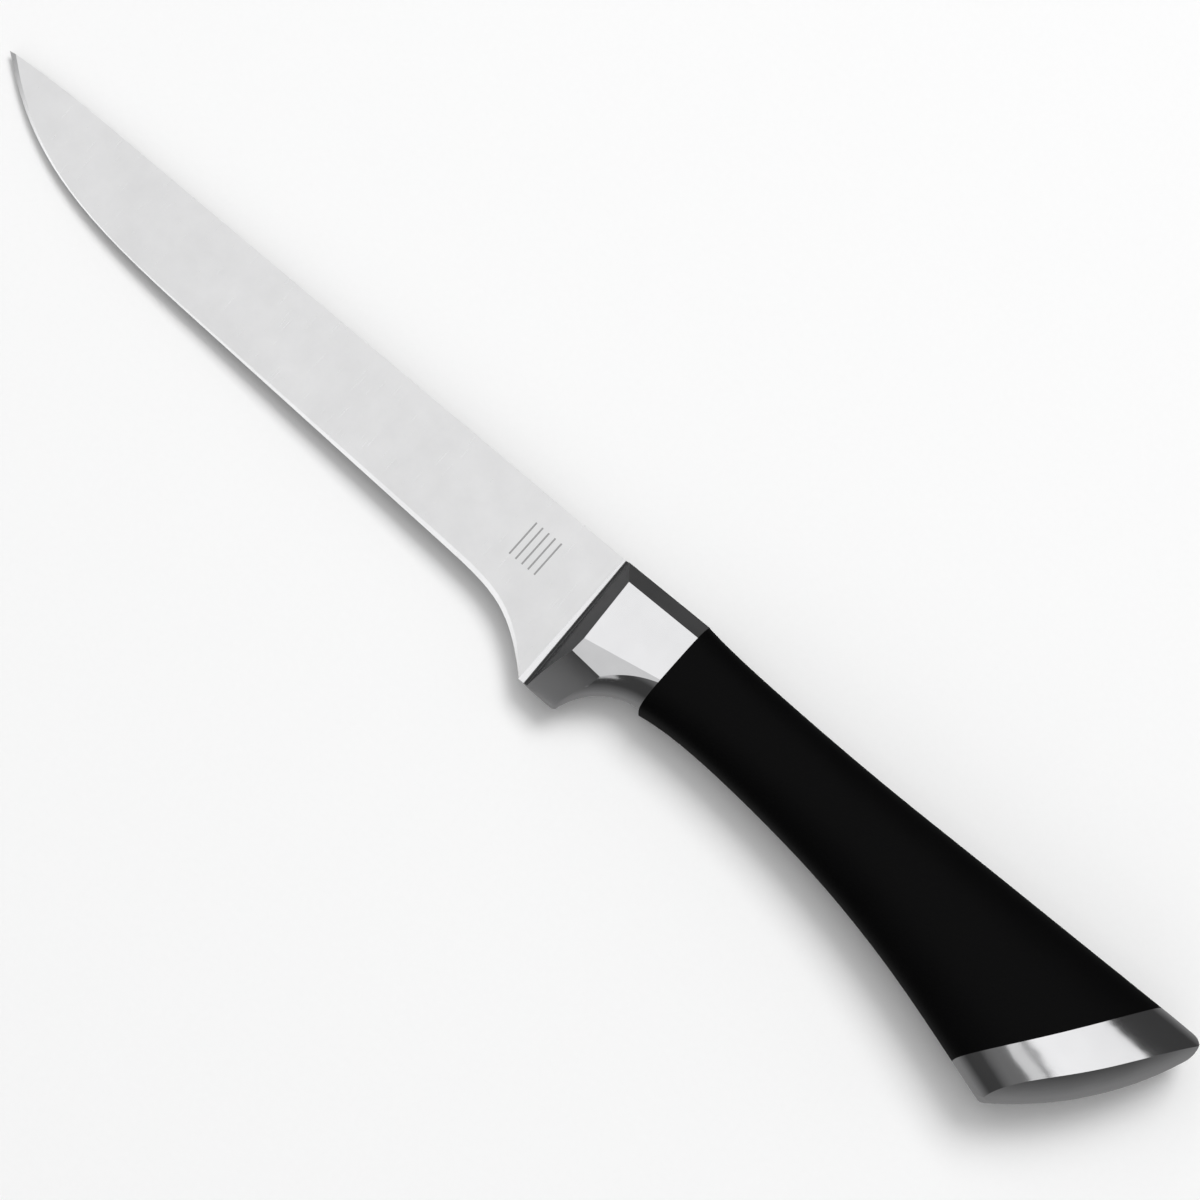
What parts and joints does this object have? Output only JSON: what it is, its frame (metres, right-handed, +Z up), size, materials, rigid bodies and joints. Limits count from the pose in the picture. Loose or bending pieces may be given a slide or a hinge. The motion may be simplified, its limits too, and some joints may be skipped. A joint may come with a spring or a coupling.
{
  "type": "boning knife",
  "caption": "Boning knife with a narrow flat-ground blade, a thick faceted bolster with a finger hollow, a smooth black grip and a domed steel end cap.",
  "frame": {"origin": "centre of the knife's box on the plane it lies on", "axes": "+X from the tip towards the butt, +Y towards the spine side, +Z up through the blade's flat"},
  "size_m": [0.286, 0.0332, 0.0199],
  "materials": {
    "blade_steel": "fine satin grind",
    "polished_steel": "polished",
    "plain_steel": "plain turned and punched steel",
    "weld_metal": "as welded",
    "grip_black": "smooth matte black",
    "core_plastic": "moulded, plain",
    "resin": "cast potting resin"
  },
  "bodies": {
    "root": {"blade": "blade_steel", "bolster": "polished_steel", "tang": "plain_steel", "tang_rod": "plain_steel", "tang_welds": "weld_metal", "tang_washer": "plain_steel", "lock_washer": "plain_steel", "tang_nut": "plain_steel", "potting_resin": "resin", "handle_core": "core_plastic", "grip_sleeve": "grip_black", "end_cap": "polished_steel", "cap_adhesive": "resin", "cap_studs": "plain_steel"}
  },
  "joints": []
}
